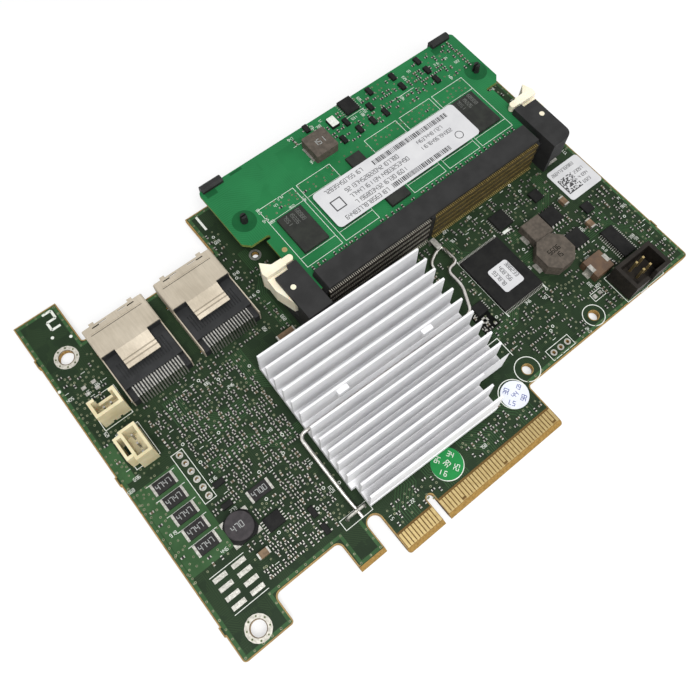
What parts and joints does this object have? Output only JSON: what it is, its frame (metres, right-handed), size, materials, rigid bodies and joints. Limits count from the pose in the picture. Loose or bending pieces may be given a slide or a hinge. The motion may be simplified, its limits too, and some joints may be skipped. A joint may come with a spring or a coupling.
{
  "type": "storage controller card",
  "caption": "Storage controller add-in card with finned heat sink, two cable sockets and a plug-in memory module.",
  "frame": {"origin": "lower end of the first gold edge contact, on the component side of the board", "axes": "+X along the gold edge towards the far end of the card, +Y from the gold edge towards the memory module, +Z out of the component side"},
  "size_m": [0.1592, 0.1093, 0.0155],
  "materials": {
    "dark_laminate": "satin",
    "green_laminate": "satin",
    "gold": "polished",
    "tin": "satin",
    "fin_aluminium": "satin",
    "bright_wire": "polished",
    "nickel_shell": "satin",
    "moulding_black": "matte",
    "moulding_ivory": "satin",
    "moulding_brown": "satin",
    "package_black": "matte",
    "pad_grey": "matte",
    "white_paper": "matte",
    "ferrite_grey": "matte",
    "ferrite_taupe": "matte",
    "soft_black": "matte",
    "nylon_black": "satin",
    "ceramic_white": "satin",
    "ceramic_tan": "satin"
  },
  "bodies": {
    "card": {"aux_connector": "moulding_ivory", "aux_pins": "tin", "battery_connector": "moulding_ivory", "battery_pins": "tin", "bus_switch_chip": "package_black", "bus_switch_leads": "tin", "capacitor_ends": "tin", "ceramic_capacitors": "ceramic_tan", "clip_anchors": "tin", "drum_inductor_base": "package_black", "drum_inductor_core": "ferrite_grey", "edge_contacts": "gold", "flash_chip": "package_black", "flash_leads": "tin", "heatsink": "fin_aluminium", "heatsink_clip": "bright_wire", "inductor_terminals": "tin", "main_board": "dark_laminate", "memory_board": "green_laminate", "memory_chips": "package_black", "memory_label": "white_paper", "memory_socket": "moulding_black", "memory_socket_contacts": "gold", "module_bumpers": "soft_black", "module_inductor": "ferrite_grey", "module_power_parts": "package_black", "module_standoffs": "nylon_black", "mosfet_leads": "tin", "mosfets": "package_black", "moulded_capacitor": "moulding_brown", "moulded_capacitor_straps": "tin", "mounting_hole_lands": "tin", "octagon_inductor": "ferrite_taupe", "power_header": "moulding_black", "power_header_pins": "gold", "raid_processor": "package_black", "register_chips": "package_black", "sas_contacts_inner": "tin", "sas_contacts_outer": "tin", "sas_housing_inner": "moulding_black", "sas_housing_outer": "moulding_black", "sas_shell_inner": "nickel_shell", "sas_shell_outer": "nickel_shell", "sense_resistor_ends": "tin", "sense_resistors": "ceramic_white", "small_ics": "package_black", "socket_hold_downs": "tin", "square_inductor": "ferrite_taupe", "thermal_pad": "pad_grey"},
    "left_latch": {"latch_left": "moulding_ivory"},
    "right_latch": {"latch_right": "moulding_ivory"}
  },
  "joints": [
    {"name": "left_latch_pivot", "type": "hinge", "parent": "card", "child": "left_latch", "pos_m": [0.01695, 0.067, 0.008], "axis": [0, 0, 1], "range_deg": [0, 25]},
    {"name": "right_latch_pivot", "type": "hinge", "parent": "card", "child": "right_latch", "pos_m": [0.10565, 0.067, 0.008], "axis": [0, 0, -1], "range_deg": [0, 25]}
  ]
}
